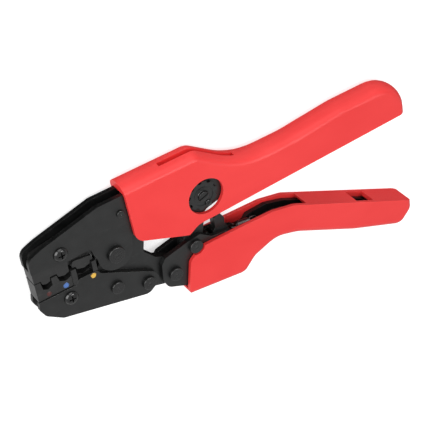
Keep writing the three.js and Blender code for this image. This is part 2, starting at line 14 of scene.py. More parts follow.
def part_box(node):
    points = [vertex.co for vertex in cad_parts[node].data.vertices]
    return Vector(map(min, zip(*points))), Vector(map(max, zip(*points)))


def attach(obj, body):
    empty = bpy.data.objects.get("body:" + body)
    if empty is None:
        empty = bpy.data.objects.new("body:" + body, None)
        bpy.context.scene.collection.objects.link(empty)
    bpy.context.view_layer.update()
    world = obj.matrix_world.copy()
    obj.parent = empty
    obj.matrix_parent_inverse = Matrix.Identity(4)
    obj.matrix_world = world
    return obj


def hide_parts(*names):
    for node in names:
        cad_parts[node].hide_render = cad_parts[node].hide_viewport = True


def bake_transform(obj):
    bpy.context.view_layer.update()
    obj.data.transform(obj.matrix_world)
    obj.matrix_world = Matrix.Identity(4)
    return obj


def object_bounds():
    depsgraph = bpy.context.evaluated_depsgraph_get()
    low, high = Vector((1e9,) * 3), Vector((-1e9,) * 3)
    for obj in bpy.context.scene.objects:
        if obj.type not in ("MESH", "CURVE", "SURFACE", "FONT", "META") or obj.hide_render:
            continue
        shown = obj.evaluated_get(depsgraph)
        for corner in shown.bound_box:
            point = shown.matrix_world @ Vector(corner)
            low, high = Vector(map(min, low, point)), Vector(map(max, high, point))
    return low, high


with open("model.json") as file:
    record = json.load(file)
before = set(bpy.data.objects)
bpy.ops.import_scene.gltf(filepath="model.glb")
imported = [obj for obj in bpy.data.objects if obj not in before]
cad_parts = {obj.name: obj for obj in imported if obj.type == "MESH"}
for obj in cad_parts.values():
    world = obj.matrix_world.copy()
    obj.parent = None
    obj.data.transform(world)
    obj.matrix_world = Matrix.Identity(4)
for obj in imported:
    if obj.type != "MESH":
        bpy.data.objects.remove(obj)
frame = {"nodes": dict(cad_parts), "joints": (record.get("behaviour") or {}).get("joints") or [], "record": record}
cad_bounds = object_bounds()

MM = 0.001
SEGMENTS = 72                 # facets in a full turn of a turned piece
SMOOTH_BELOW = math.radians(32)
SEAT = 0.03 * MM              # gap left under a head

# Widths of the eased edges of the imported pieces.
GRIP_EASE = 0.55 * MM
PLATE_EASE = 0.22 * MM
DIE_EASE = 0.14 * MM

# Radii of the pins under their heads, and of the sleeves' bores.
RIVET_SHANKS = {
    "main_pivot_pin": 3.4 * MM,
    "head_rivet": 1.4 * MM,
    "cheek_rivet_1": 2.4 * MM,
    "cheek_rivet_2": 2.4 * MM,
    "handle_pivot_pin": 2.8 * MM,
    "link_pin": 2.8 * MM,
}
SLEEVE_BORES = {
    "head_spacer": 1.6 * MM,
    "tang_spacer": 1.6 * MM,
    "handle_stay_sleeve": 1.8 * MM,
}
DOWELS = ("tang_pin", "pawl_pin", "handle_stay_pin", "return_spring_pin", "pawl_spring_pin")
DIE_SCREWS = ("upper_die_screw", "lower_die_screw")
SCREW_SHANK = 2 * MM

record = frame["record"]
body_of = {node: body for body, nodes in record["behaviour"]["bodies"].items() for node in nodes}
joint_at = {joint["name"]: Vector(joint["pos_m"]) for joint in frame["joints"]}

face_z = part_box("frame_plate_front")[1].z       # outer face of the front plates
rear_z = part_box("frame_plate_rear")[0].z        # outer face of the rear plates
core_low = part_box("toggle_link")[0].z
core_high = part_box("toggle_link")[1].z
mid_z = (core_low + core_high) / 2


# ---- camera, lights and floor ----
CAMERA_AZIMUTH = math.radians(-150.05)
CAMERA_ELEVATION = math.radians(44.9)
CAMERA_ROLL = math.radians(131.18)
CAMERA_DISTANCE = 738.8 * MM
CAMERA_AIM = Vector((57.6, -6.7, 0)) * MM       # from the main pivot, on the front plates' faces
CAMERA_LENS = 121.4

# Name, direction from the aim, distance, side and watts of each softbox.
SOFTBOXES = (
    ("key", (-0.75, 0.35, 0.62), 1.1, 0.8, 8),
    ("overhead", (0.35, 0.1, 0.94), 1.2, 0.4, 4.5),
    ("side", (0.1, 0.85, 0.6), 1.2, 0.9, 4.3),
)
DARK_SIDE = (0.6, 0.8)        # where the surround is dark low down, along X and Y


def make_camera():
    """Places the camera round the tool, rolled about its own line of sight."""
    flat = math.cos(CAMERA_ELEVATION)
    back = Vector((
        math.sin(CAMERA_AZIMUTH) * flat,
        -math.cos(CAMERA_AZIMUTH) * flat,
        math.sin(CAMERA_ELEVATION),
    ))
    level_right = Vector((math.cos(CAMERA_AZIMUTH), math.sin(CAMERA_AZIMUTH), 0))
    level_up = back.cross(level_right)
    right = level_right * math.cos(CAMERA_ROLL) + level_up * math.sin(CAMERA_ROLL)
    up = back.cross(right)
    pivot = joint_at["jaw_pivot"]
    aim = Vector((pivot.x, pivot.y, face_z)) + CAMERA_AIM
    data = bpy.data.cameras.new("camera")
    data.lens = CAMERA_LENS
    data.clip_start = 0.01
    data.clip_end = 50
    camera = bpy.data.objects.new("camera", data)
    bpy.context.scene.collection.objects.link(camera)
    turn = Matrix((right, up, back)).transposed()
    camera.matrix_world = Matrix.Translation(aim + back * CAMERA_DISTANCE) @ turn.to_4x4()
    bpy.context.scene.camera = camera
    return aim


def soft_light(name, aim, direction, distance, size, watts):
    """Square softbox, seen from the aim in the given direction."""
    data = bpy.data.lights.new(name, "AREA")
    data.shape = "SQUARE"
    data.size = size
    data.energy = watts
    light = bpy.data.objects.new(name, data)
    bpy.context.scene.collection.objects.link(light)
    away = Vector(direction).normalized()
    light.location = aim + away * distance
    light.rotation_mode = "QUATERNION"
    light.rotation_quaternion = (-away).to_track_quat("-Z", "Y")


def add_node(tree, kind, values=None, **settings):
    """New shader node. A value that is a socket is linked, and any other is set on the input."""
    made = tree.nodes.new(kind)
    for name, value in settings.items():
        setattr(made, name, value)
    for key, value in (values or {}).items():
        if isinstance(value, bpy.types.NodeSocket):
            tree.links.new(value, made.inputs[key])
        else:
            made.inputs[key].default_value = value
    return made


def arithmetic(tree, operation, a, b=0.0):
    return add_node(tree, "ShaderNodeMath", {0: a, 1: b}, operation=operation).outputs[0]


def make_world():
    """Soft studio surround: bright above and on the left, dark low down behind the fixed grip."""
    world = bpy.data.worlds.new("studio")
    world.use_nodes = True
    bpy.context.scene.world = world
    tree = world.node_tree
    tree.nodes.clear()
    direction = add_node(tree, "ShaderNodeTexCoord").outputs["Generated"]
    axes = add_node(tree, "ShaderNodeSeparateXYZ", {0: direction}).outputs
    sideways = arithmetic(tree, "MULTIPLY", axes["X"], DARK_SIDE[0])
    across = arithmetic(tree, "MULTIPLY", axes["Y"], DARK_SIDE[1])
    leaning = arithmetic(tree, "ADD", sideways, across)
    low = add_node(tree, "ShaderNodeMapRange", {
        "Value": leaning, "From Min": -0.25, "From Max": -0.75, "To Min": 0.02, "To Max": 0.75,
    }, interpolation_type="SMOOTHSTEP").outputs[0]
    high = add_node(tree, "ShaderNodeMapRange", {
        "Value": axes["Z"], "From Min": 0.02, "From Max": 0.7, "To Min": 0.88, "To Max": 0.57,
    }, interpolation_type="SMOOTHSTEP").outputs[0]
    facing = add_node(tree, "ShaderNodeMapRange", {
        "Value": leaning, "From Min": -0.3, "From Max": 0.4, "To Min": 1.0, "To Max": 0.6,
    }).outputs[0]
    high = arithmetic(tree, "MULTIPLY", high, facing)
    above = add_node(tree, "ShaderNodeMapRange", {
        "Value": axes["Z"], "From Min": -0.04, "From Max": 0.0, "To Min": 0.0, "To Max": 1.0,
    }).outputs[0]
    strength = add_node(tree, "ShaderNodeMix", {0: above, 2: low, 3: high}).outputs[0]
    background = add_node(tree, "ShaderNodeBackground", {
        "Color": (1, 1, 1, 1), "Strength": strength,
    }).outputs[0]
    add_node(tree, "ShaderNodeOutputWorld", {"Surface": background})


FLOOR_RADIUS = 8
FLOOR_GREY = 0.62
FLOOR_GLOW = 0.57
FLOOR_DROP = 0.02 * MM        # from the tool down to the floor


def make_floor():
    """Plain pale round floor under the tool."""
    mesh = bpy.data.meshes.new("floor")
    shape = bmesh.new()
    bmesh.ops.create_circle(shape, cap_ends=True, radius=FLOOR_RADIUS, segments=96)
    shape.to_mesh(mesh)
    shape.free()
    floor = bpy.data.objects.new("floor", mesh)
    floor.location.z = cad_bounds[0].z - FLOOR_DROP
    floor.visible_glossy = False
    bpy.context.scene.collection.objects.link(floor)
    material, _, shader = new_material("pale_floor")
    set_values(shader, {
        "Base Color": (FLOOR_GREY, FLOOR_GREY, FLOOR_GREY, 1), "Roughness": 0.9,
        "Specular IOR Level": 0.1,
        "Emission Color": (1, 1, 1, 1), "Emission Strength": FLOOR_GLOW,
    })
    mesh.materials.append(material)


# ---- materials ----
def new_material(name):
    material = bpy.data.materials.new(name)
    material.use_nodes = True
    tree = material.node_tree
    tree.nodes.clear()
    shader = add_node(tree, "ShaderNodeBsdfPrincipled")
    add_node(tree, "ShaderNodeOutputMaterial", {"Surface": shader.outputs["BSDF"]})
    return material, tree, shader


def set_values(shader, values):
    """Sets constants straight on the shader's sockets."""
    for name, value in values.items():
        shader.inputs[name].default_value = value


def place(tree):
    return add_node(tree, "ShaderNodeTexCoord").outputs["Object"]


def noise(tree, coordinates, size, detail=3.0, roughness=0.55, stretch=None, distortion=0.0):
    """Noise from 0 to 1 whose features are about this size, optionally stretched along an axis."""
    if stretch is not None:
        coordinates = add_node(tree, "ShaderNodeMapping", {
            "Vector": coordinates, "Scale": stretch,
        }).outputs[0]
    return add_node(tree, "ShaderNodeTexNoise", {
        "Vector": coordinates, "Scale": 1 / size, "Detail": detail, "Roughness": roughness,
        "Distortion": distortion,
    }).outputs["Fac"]


def between(tree, value, from_low, from_high, to_low, to_high):
    return add_node(tree, "ShaderNodeMapRange", {
        "Value": value, "From Min": from_low, "From Max": from_high,
        "To Min": to_low, "To Max": to_high,
    }).outputs[0]


def blend_colours(tree, factor, first, second):
    """Colour mix; first and second are RGB tuples or colour sockets."""
    mixer = add_node(tree, "ShaderNodeMix", {0: factor}, data_type="RGBA")
    for socket, colour in ((mixer.inputs[6], first), (mixer.inputs[7], second)):
        if isinstance(colour, bpy.types.NodeSocket):
            tree.links.new(colour, socket)
        else:
            socket.default_value = (*colour, 1)
    return mixer.outputs[2]


def bump(tree, height, strength, distance, under=None):
    values = {"Height": height, "Strength": strength, "Distance": distance}
    if under is not None:
        values["Normal"] = under
    return add_node(tree, "ShaderNodeBump", values).outputs[0]


def from_axis(tree, at):
    """Distance from the piece's own upright axis."""
    axes = add_node(tree, "ShaderNodeSeparateXYZ", {0: at}).outputs
    squares = [arithmetic(tree, "MULTIPLY", axes[axis], axes[axis]) for axis in ("X", "Y")]
    return arithmetic(tree, "SQRT", arithmetic(tree, "ADD", *squares))


EDGE_START = 0.02             # turn of the surface, as 1 - cosine, where the lighter edges, partly wear and partly painted highlight, start
EDGE_FULL = 0.22              # and where it is full


def edge_mask(tree, radius):
    """1 on convex and concave edges of the shape, 0 away from them."""
    soft = add_node(tree, "ShaderNodeBevel", {"Radius": radius}, samples=4).outputs[0]
    sharp = add_node(tree, "ShaderNodeNewGeometry").outputs["Normal"]
    facing = add_node(tree, "ShaderNodeVectorMath", {0: soft, 1: sharp}, operation="DOT_PRODUCT")
    return between(tree, facing.outputs["Value"], 1 - EDGE_START, 1 - EDGE_FULL, 0, 1)


def red_plastic():
    """Injection-moulded plastic: even colour, faint flow marks, fine spark-eroded texture."""
    material, tree, shader = new_material("red_plastic")
    at = place(tree)
    flow = noise(tree, at, 26 * MM, 3, 0.5, (0.5, 1, 1), 0.6)
    fleck = noise(tree, at, 0.5 * MM, 4, 0.6)
    streaked = between(tree, flow, 0.3, 0.7, 0, 1)
    colour = blend_colours(tree, streaked, (0.69, 0.024, 0.024), (0.74, 0.034, 0.033))
    flecked = between(tree, fleck, 0.35, 0.75, 0, 0.14)
    colour = blend_colours(tree, flecked, colour, (0.60, 0.022, 0.019))
    # Lighter red along the edges: partly rubbed plastic, partly a painted sheen.
    patchy = between(tree, flow, 0.35, 0.6, 0.1, 0.4)
    rubbed_and_sheen = arithmetic(tree, "MULTIPLY", edge_mask(tree, 0.7 * MM), patchy)
    colour = blend_colours(tree, rubbed_and_sheen, colour, (0.84, 0.10, 0.09))
    tree.links.new(colour, shader.inputs["Base Color"])
    pores = noise(tree, at, 0.22 * MM, 2, 0.5)
    skin = noise(tree, at, 1.6 * MM, 2, 0.4)
    tree.links.new(between(tree, fleck, 0.2, 0.8, 0.36, 0.5), shader.inputs["Roughness"])
    texture = bump(tree, pores, 0.16, 0.02 * MM)
    texture = bump(tree, skin, 0.12, 0.05 * MM, texture)
    tree.links.new(texture, shader.inputs["Normal"])
    set_values(shader, {"IOR": 1.5, "Specular IOR Level": 0.5})
    return material


def oxide_steel(name, dark, light, bare_and_highlight, rough, grain_size=0.16, lay=None):
    """Blackened steel: mottled oxide, fine grain or grinding lines, and lighter edges that are partly worn bare
    steel and partly a painted highlight.
    """
    material, tree, shader = new_material(name)
    at = place(tree)
    mottle = noise(tree, at, 7 * MM, 5, 0.6)
    grain = noise(tree, at, grain_size * MM, 4, 0.6, lay)
    scuff = noise(tree, at, 1.1 * MM, 3, 0.5, (0.12, 1, 1), 1.2)
    colour = blend_colours(tree, between(tree, mottle, 0.3, 0.7, 0, 1), dark, light)
    scuffed = between(tree, scuff, 0.62, 0.74, 0, 0.22)
    colour = blend_colours(tree, scuffed, colour, bare_and_highlight)
    # Bare steel on the edges: partly wear, partly a painted highlight.
    patchy = between(tree, noise(tree, at, 1.8 * MM, 4, 0.65), 0.36, 0.66, 0.1, 0.75)
    worn_and_highlight = arithmetic(tree, "MULTIPLY", edge_mask(tree, 0.35 * MM), patchy)
    colour = blend_colours(tree, worn_and_highlight, colour, bare_and_highlight)
    tree.links.new(colour, shader.inputs["Base Color"])
    sheen = between(tree, mottle, 0.3, 0.7, rough - 0.05, rough + 0.06)
    speckled = arithmetic(tree, "ADD", sheen, between(tree, grain, 0.2, 0.8, -0.04, 0.06))
    tree.links.new(speckled, shader.inputs["Roughness"])
    texture = bump(tree, grain, 0.3, 0.012 * MM)
    texture = bump(tree, scuff, 0.12, 0.01 * MM, texture)
    tree.links.new(texture, shader.inputs["Normal"])
    set_values(shader, {"IOR": 1.56, "Specular IOR Level": 0.5})
    return material


def turned_steel(name, dark, light, rough):
    """Turned and blackened steel: rings from the tool about the piece's own axis."""
    material, tree, shader = new_material(name)
    at = place(tree)
    rings = add_node(tree, "ShaderNodeTexNoise", {
        "W": from_axis(tree, at), "Scale": 1 / (0.2 * MM), "Detail": 3.0,
    }, noise_dimensions="1D").outputs["Fac"]
    stain = noise(tree, at, 1.4 * MM, 4, 0.6)
    colour = blend_colours(tree, between(tree, stain, 0.3, 0.7, 0, 1), dark, light)
    # Lighter grey on the edges: partly wear, partly a painted highlight.
    patchy = between(tree, stain, 0.35, 0.6, 0.2, 0.8)
    worn_and_highlight = arithmetic(tree, "MULTIPLY", edge_mask(tree, 0.3 * MM), patchy)
    colour = blend_colours(tree, worn_and_highlight, colour, (0.05, 0.05, 0.05))
    tree.links.new(colour, shader.inputs["Base Color"])
    ringed = between(tree, rings, 0.2, 0.8, rough - 0.07, rough + 0.09)
    tree.links.new(ringed, shader.inputs["Roughness"])
    texture = bump(tree, rings, 0.25, 0.01 * MM)
    texture = bump(tree, noise(tree, at, 0.12 * MM, 2, 0.5), 0.15, 0.006 * MM, texture)
    tree.links.new(texture, shader.inputs["Normal"])
    set_values(shader, {"IOR": 1.6, "Specular IOR Level": 0.5})
    return material


def spring_steel():
    """Drawn wire, oiled: bright metal with a brown-grey film in patches."""
    material, tree, shader = new_material("spring_steel")
    at = place(tree)
    film = noise(tree, at, 1.2 * MM, 4, 0.6)
    drawn = noise(tree, at, 0.1 * MM, 3, 0.6, (0.25, 1, 1))
    filmed = between(tree, film, 0.35, 0.7, 0, 1)
    colour = blend_colours(tree, filmed, (0.34, 0.34, 0.35), (0.17, 0.16, 0.15))
    tree.links.new(colour, shader.inputs["Base Color"])
    tree.links.new(between(tree, drawn, 0.2, 0.8, 0.24, 0.42), shader.inputs["Roughness"])
    tree.links.new(bump(tree, drawn, 0.2, 0.008 * MM), shader.inputs["Normal"])
    set_values(shader, {"Metallic": 1.0})
    return material


def paint(name, full, thin):
    """A dab of enamel: thick in the middle, thinner and darker towards its rim, brushed on."""
    material, tree, shader = new_material(name)
    at = place(tree)
    uneven = between(tree, noise(tree, at, 0.8 * MM), 0, 1, -0.5 * MM, 0.5 * MM)
    ragged = arithmetic(tree, "ADD", from_axis(tree, at), uneven)
    colour = blend_colours(tree, between(tree, ragged, 0.9 * MM, 1.8 * MM, 0, 1), full, thin)
    tree.links.new(colour, shader.inputs["Base Color"])
    brush = noise(tree, at, 0.35 * MM, 3, 0.5, (0.4, 1, 1))
    tree.links.new(between(tree, brush, 0.2, 0.8, 0.3, 0.45), shader.inputs["Roughness"])
    tree.links.new(bump(tree, brush, 0.3, 0.02 * MM), shader.inputs["Normal"])
    return material


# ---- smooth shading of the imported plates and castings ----
def smoothing_group():
    """Geometry nodes that shade faces smooth and keep edges sharp past an angle."""
    group = bpy.data.node_groups.new("smooth_by_angle", "GeometryNodeTree")
    group.interface.new_socket("Geometry", in_out="INPUT", socket_type="NodeSocketGeometry")
    group.interface.new_socket("Geometry", in_out="OUTPUT", socket_type="NodeSocketGeometry")
    start = group.nodes.new("NodeGroupInput").outputs[0]
    faces = add_node(group, "GeometryNodeSetShadeSmooth", {"Geometry": start, "Shade Smooth": True})
    angle = add_node(group, "GeometryNodeInputMeshEdgeAngle").outputs["Unsigned Angle"]
    steep = add_node(group, "FunctionNodeCompare", {
        "A": angle, "B": SMOOTH_BELOW,
    }, operation="GREATER_THAN")
    edges = add_node(group, "GeometryNodeSetShadeSmooth", {
        "Geometry": faces.outputs[0], "Selection": steep.outputs[0], "Shade Smooth": False,
    }, domain="EDGE")
    add_node(group, "NodeGroupOutput", {0: edges.outputs[0]})
    return group


def ease_edges(obj, width, group):
    """Joins flat facets, rounds the sharp edges a little and shades the rest smooth."""
    weld = obj.modifiers.new("weld", "WELD")
    weld.merge_threshold = 0.002 * MM
    flat = obj.modifiers.new("flat", "DECIMATE")
    flat.decimate_type = "DISSOLVE"
    flat.angle_limit = math.radians(0.6)
    bevel = obj.modifiers.new("edges", "BEVEL")
    bevel.width = width
    bevel.segments = 3
    bevel.limit_method = "ANGLE"
    bevel.angle_limit = SMOOTH_BELOW
    bevel.miter_outer = "MITER_ARC"
    smooth = obj.modifiers.new("smooth", "NODES")
    smooth.node_group = group
    weighted = obj.modifiers.new("normals", "WEIGHTED_NORMAL")
    weighted.keep_sharp = True


# ---- shapes ----
def rounded(points, steps=6, closed=True):
    """Line through (x, y, radius) points with each corner rounded by an arc of that radius."""
    line = []
    count = len(points)
    for i, (x, y, radius) in enumerate(points):
        corner = Vector((x, y))
        end_point = not closed and i in (0, count - 1)
        if radius == 0 or end_point:
            line.append(corner)
            continue
        before = Vector(points[i - 1][:2]) - corner
        after = Vector(points[(i + 1) % count][:2]) - corner
        half = before.angle(after) / 2
        reach = min(radius / math.tan(half), 0.49 * before.length, 0.49 * after.length)
        start = corner + before.normalized() * reach
        end = corner + after.normalized() * reach
        arc = reach * math.tan(half)
        inwards = ((start + end) / 2 - corner).normalized()
        centre = corner + inwards * (arc / math.sin(half))
        first = start - centre
        sweep = first.angle_signed(end - centre)
        for step in range(steps + 1):
            turn = -sweep * step / steps
            line.append(centre + Matrix.Rotation(turn, 2) @ first)
    return line


def new_piece(name, shape):
    """Object from a bmesh, which is freed. Faces are shaded smooth up to the smoothing angle."""
    bmesh.ops.recalc_face_normals(shape, faces=shape.faces)
    mesh = bpy.data.meshes.new(name)
    shade(shape)
    shape.to_mesh(mesh)
    shape.free()
    piece = bpy.data.objects.new(name, mesh)
    bpy.context.scene.collection.objects.link(piece)
    return piece


def shade(shape):
    for face in shape.faces:
        face.smooth = True
    for edge in shape.edges:
        edge.smooth = len(edge.link_faces) == 2 and edge.calc_face_angle(0) < SMOOTH_BELOW


def lathe(name, profile, segments=SEGMENTS):
    """Turned solid about Z from a (radius, z) line that starts and ends on the axis."""
    shape = bmesh.new()
    rings = []
    for radius, z in profile:
        if radius < 1e-9:
            rings.append([shape.verts.new((0, 0, z))])
            continue
        rings.append([shape.verts.new((x, y, z)) for x, y in circle(0, 0, radius, segments)])
    for low, high in zip(rings, rings[1:]):
        for step in range(segments):
            after = (step + 1) % segments
            corners = [
                low[step % len(low)], low[after % len(low)],
                high[after % len(high)], high[step % len(high)],
            ]
            shape.faces.new(dict.fromkeys(corners))
    return new_piece(name, shape)


def prism(name, line, low, high):
    """Upright solid of a closed outline."""
    shape = bmesh.new()
    bottom = [shape.verts.new((x, y, low)) for x, y in line]
    top = [shape.verts.new((x, y, high)) for x, y in line]
    shape.faces.new(bottom)
    shape.faces.new(top)
    for i in range(len(line)):
        after = (i + 1) % len(line)
        shape.faces.new((bottom[i], bottom[after], top[after], top[i]))
    return new_piece(name, shape)


def circle(x, y, radius, segments=SEGMENTS):
    angles = [2 * math.pi * step / segments for step in range(segments)]
    return [(x + radius * math.cos(a), y + radius * math.sin(a)) for a in angles]


def combine(piece, cutters, operation="DIFFERENCE"):
    """Cuts the cutters from the piece, or joins them to it, and removes them."""
    for cutter in cutters:
        step = piece.modifiers.new("combine", "BOOLEAN")
        step.operation = operation
        step.object = cutter
        step.solver = "EXACT"
    graph = bpy.context.evaluated_depsgraph_get()
    result = bpy.data.meshes.new_from_object(piece.evaluated_get(graph))
    piece.modifiers.clear()
    piece.data = result
    for cutter in cutters:
        bpy.data.objects.remove(cutter)
    shape = bmesh.new()
    shape.from_mesh(result)
    bmesh.ops.remove_doubles(shape, verts=shape.verts, dist=1e-6)
    bmesh.ops.dissolve_limit(shape, angle_limit=math.radians(0.5), verts=shape.verts, edges=shape.edges)
    shade(shape)
    shape.to_mesh(result)
    shape.free()
    return piece


def sweep(name, path, radius, sides=12):
    """Round wire along a line of points, with flat ends."""
    shape = bmesh.new()
    rings = []
    across = (path[1] - path[0]).orthogonal().normalized()
    for i, point in enumerate(path):
        along = (path[min(i + 1, len(path) - 1)] - path[max(i - 1, 0)]).normalized()
        across = (across - along * across.dot(along)).normalized()
        other = along.cross(across)
        ring = []
        for side in range(sides):
            angle = 2 * math.pi * side / sides
            outwards = across * math.cos(angle) + other * math.sin(angle)
            ring.append(shape.verts.new(point + outwards * radius))
        rings.append(ring)
    for low, high in zip(rings, rings[1:]):
        for side in range(sides):
            after = (side + 1) % sides
            shape.faces.new((low[side], low[after], high[after], high[side]))
    shape.faces.new(rings[0])
    shape.faces.new(rings[-1])
    return new_piece(name, shape)


def bevel_piece(piece, width, segments=2):
    """Small rounding of the sharp edges of a Blender piece."""
    bevel = piece.modifiers.new("edges", "BEVEL")
    bevel.width = width
    bevel.segments = segments
    bevel.limit_method = "ANGLE"
    bevel.angle_limit = SMOOTH_BELOW
    weighted = piece.modifiers.new("normals", "WEIGHTED_NORMAL")
    weighted.keep_sharp = True


def stand_for(piece, node, material, bends=None):
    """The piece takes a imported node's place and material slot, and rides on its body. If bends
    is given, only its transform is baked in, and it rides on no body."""
    piece.data.materials.clear()
    piece.data.materials.append(material)
    if bends is None:
        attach(piece, body_of[node])
    else:
        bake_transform(piece)
    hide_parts(node)


def axis_of(node):
    """Centre line, largest radius and z levels of a packed round piece."""
    low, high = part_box(node)
    centre = (low + high) / 2
    return centre.x, centre.y, (high.x - low.x) / 2, low.z, high.z


# ---- pins, rivets and screws ----
def rivet(node, shank, material):
    """Headed pin: flat heads with rounded rims, the front one with a small centre mark."""
    x, y, head, low, high = axis_of(node)
    mark = head * 0.16
    profile = rounded([
        (0, low, 0), (head, low, 0.35 * MM), (head, rear_z - SEAT, 0.1 * MM), (shank, rear_z - SEAT, 0),
        (shank, face_z + SEAT, 0), (head, face_z + SEAT, 0.12 * MM), (head, high, 0.45 * MM),
        (mark * 1.5, high, 0.2 * MM), (mark * 0.8, high - 0.12 * MM, 0.1 * MM), (0, high - 0.16 * MM, 0),
    ], closed=False)
    piece = lathe(node + "_turned", profile)
    piece.location = (x, y, 0)
    stand_for(piece, node, material)


def recess_wing(length, top_half, low, high):
    """Tapered wing of a cross recess, along X."""
    shape = bmesh.new()
    corners = []
    for level, reach, half in ((low, length * 0.55, top_half * 0.6), (high, length, top_half)):
        for sx, sy in ((-1, -1), (1, -1), (1, 1), (-1, 1)):
            corners.append(shape.verts.new((sx * reach, sy * half, level)))
    bottom, top = corners[:4], corners[4:]
    shape.faces.new(bottom)
    shape.faces.new(top)
    for i in range(4):
        after = (i + 1) % 4
        shape.faces.new((bottom[i], bottom[after], top[after], top[i]))
    return new_piece("wing", shape)


def cross_screw(node, material):
    """Pan-head screw with a tapered cross recess."""
    x, y, head, low, high = axis_of(node)
    seat = face_z + SEAT
    rise = high - seat
    profile = rounded([
        (0, low, 0), (SCREW_SHANK, low, 0.2 * MM), (SCREW_SHANK, seat, 0), (head, seat, 0.1 * MM),
        (head, seat + rise * 0.38, 0.5 * MM), (head * 0.76, seat + rise * 0.86, 1.6 * MM),
        (head * 0.4, high, 3 * MM), (0, high, 0),
    ], closed=False)
    piece = lathe(node + "_turned", profile)
    wings = []
    for turn in (0, math.pi / 2):
        wing = recess_wing(head * 0.6, head * 0.135, high - 1.5 * MM, high + 0.6 * MM)
        wing.rotation_euler.z = turn
        wings.append(wing)
    bpy.context.view_layer.update()
    combine(piece, wings)
    bevel_piece(piece, 0.07 * MM)
    piece.location = (x, y, 0)
    stand_for(piece, node, material)


def dowel(node, material):
    """Plain pin with chamfered ends."""
    x, y, radius, low, high = axis_of(node)
    edge = 0.3 * MM
    profile = [
        (0, low), (radius - edge, low), (radius, low + edge),
        (radius, high - edge), (radius - edge, high), (0, high),
    ]
    piece = lathe(node + "_turned", profile)
    piece.location = (x, y, 0)
    stand_for(piece, node, material)


def sleeve(node, bore, material):
    """Spacer tube with chamfered rims."""
    x, y, radius, low, high = axis_of(node)
    edge = 0.25 * MM
    piece = prism(node + "_turned", circle(0, 0, radius), low, high)
    combine(piece, [prism("bore", circle(0, 0, bore), low - MM, high + MM)])
    bevel_piece(piece, edge)
    piece.location = (x, y, 0)
    stand_for(piece, node, material)


# ---- adjusting wheel, its eccentric pin and its lock screw ----
WHEEL_TEETH = 10
WHEEL_PHASE = 0.62            # of one tooth, from +X to the first notch
NOTCH_RADIUS = 1.35 * MM
NOTCH_OUTSIDE = 0.3 * MM      # the notch centres lie this far outside the rim
NOTCH_STEPS = 36              # points of the rim's outline per tooth
WHEEL_BORE = 3.15 * MM
LOCK_HOLE = 1.15 * MM
RING_OUTER = 6 * MM           # shallow ring turned into the wheel's face
RING_INNER = 4.7 * MM
RING_DEPTH = 0.25 * MM
PIN_SHANK = 3 * MM            # eccentric pin
PIN_BOSS = 2.8 * MM
THROW = 0.4 * MM


def adjusting_wheel(material):
    _, _, radius, low, high = axis_of("adjusting_wheel")
    pin_x, pin_y = joint_at["adjuster_turn"].xy
    centre = radius + NOTCH_OUTSIDE
    pitch = 2 * math.pi / WHEEL_TEETH
    line = []
    for step in range(WHEEL_TEETH * NOTCH_STEPS):
        angle = 2 * math.pi * step / (WHEEL_TEETH * NOTCH_STEPS)
        off = (angle - WHEEL_PHASE * pitch + pitch / 2) % pitch - pitch / 2
        inside = NOTCH_RADIUS ** 2 - (centre * math.sin(off)) ** 2
        reach = min(radius, centre * math.cos(off) - math.sqrt(inside)) if inside > 0 else radius
        line.append((reach * math.cos(angle), reach * math.sin(angle)))
    piece = prism("adjusting_wheel_cut", line, low, high)
    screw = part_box("wheel_lock_screw")
    hole = ((screw[0] + screw[1]) / 2).xy - Vector((pin_x, pin_y))
    bore = prism("bore", circle(0, 0, WHEEL_BORE), low - MM, high + MM)
    tapped = prism("tapped", circle(hole.x, hole.y, LOCK_HOLE, 36), low - MM, high + MM)
    ring = prism("ring", circle(0, 0, RING_OUTER), high - RING_DEPTH, high + MM)
    core = prism("core", circle(0, 0, RING_INNER), high - MM, high + 2 * MM)
    combine(ring, [core])
    combine(piece, [bore, tapped, ring])
    bevel_piece(piece, 0.18 * MM, 3)
    piece.location = (pin_x, pin_y, 0)
    stand_for(piece, "adjusting_wheel", material)


def slotted(piece, length, width, floor, top, turn):
    """Cuts a screwdriver slot, given by its half length and half width, and eases the edges."""
    line = [(-length, -width), (length, -width), (length, width), (-length, width)]
    slot = prism("slot", line, floor, top)
    slot.rotation_euler.z = turn
    bpy.context.view_layer.update()
    combine(piece, [slot])
    bevel_piece(piece, 0.07 * MM)


def eccentric_pin(material):
    """Pin with a thrown middle, a rear head and a slotted boss standing up from the wheel."""
    node = "eccentric_pin"
    low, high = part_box(node)
    pin = joint_at["adjuster_turn"]
    head = pin.x - low.x
    wheel_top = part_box("adjusting_wheel")[1].z
    profile = rounded([
        (0, low.z, 0), (head, low.z, 0.3 * MM), (head, rear_z - SEAT, 0), (PIN_SHANK, rear_z - SEAT, 0),
        (PIN_SHANK, core_low, 0), (0.85 * PIN_SHANK, core_low, 0), (0.85 * PIN_SHANK, core_high, 0),
        (PIN_SHANK, core_high, 0), (PIN_SHANK, wheel_top - 0.2 * MM, 0), (PIN_BOSS, wheel_top, 0),
        (PIN_BOSS, high.z - 0.1 * MM, 0.3 * MM), (PIN_BOSS * 0.5, high.z, 2 * MM), (0, high.z, 0),
    ], closed=False)
    piece = lathe("eccentric_pin_turned", profile)
    cam = prism("cam", circle(-THROW, 0, PIN_SHANK), core_low + 0.02 * MM, core_high - 0.02 * MM)
    combine(piece, [cam], "UNION")
    slotted(piece, PIN_BOSS + MM, 0.45 * MM, high.z - 0.7 * MM, high.z + MM, 0.35)
    piece.location = (pin.x, pin.y, 0)
    stand_for(piece, node, material)


